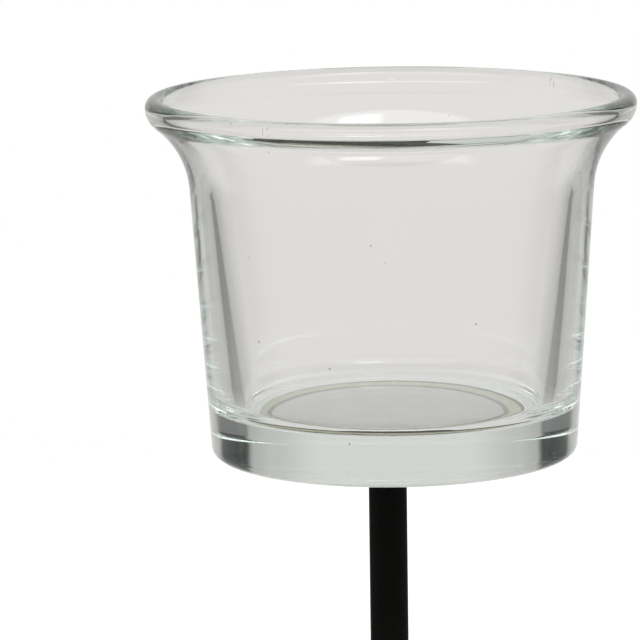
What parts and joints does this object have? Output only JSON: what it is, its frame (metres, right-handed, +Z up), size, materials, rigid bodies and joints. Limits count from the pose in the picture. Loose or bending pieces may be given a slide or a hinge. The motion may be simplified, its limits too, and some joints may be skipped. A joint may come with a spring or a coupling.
{
  "type": "glass tealight holder",
  "caption": "Flared cup of clear pressed glass for a tealight, standing loose on a slim black steel pedestal with a round foot.",
  "frame": {"origin": "middle of the foot, on the surface that it stands on", "axes": "+Z up along the stem; the holder is round, so +X and +Y are free, and the loose cup is shown 1 mm off the stem's line towards +X"},
  "size_m": [0.084, 0.084, 0.1416],
  "materials": {
    "clear_glass": "clear pressed soda glass, faintly green where thick",
    "silicone": "matt translucent silicone, off white",
    "black_steel": "black powder coat, semi matt",
    "zinc_steel": "zinc plated",
    "foot_rubber": "matt black rubber"
  },
  "bodies": {
    "stand": {"seat_pad": "silicone", "seat_disc": "black_steel", "seat_screw": "zinc_steel", "stem": "black_steel", "base_plate": "black_steel", "lock_washer": "zinc_steel", "base_screw": "zinc_steel", "foot_pads": "foot_rubber"},
    "cup": {"glass_cup": "clear_glass"}
  },
  "joints": [
    {"name": "cup_lift", "type": "slide", "parent": "stand", "child": "cup", "axis": [0, 0, 1], "range_m": [0, 0.06]}
  ]
}
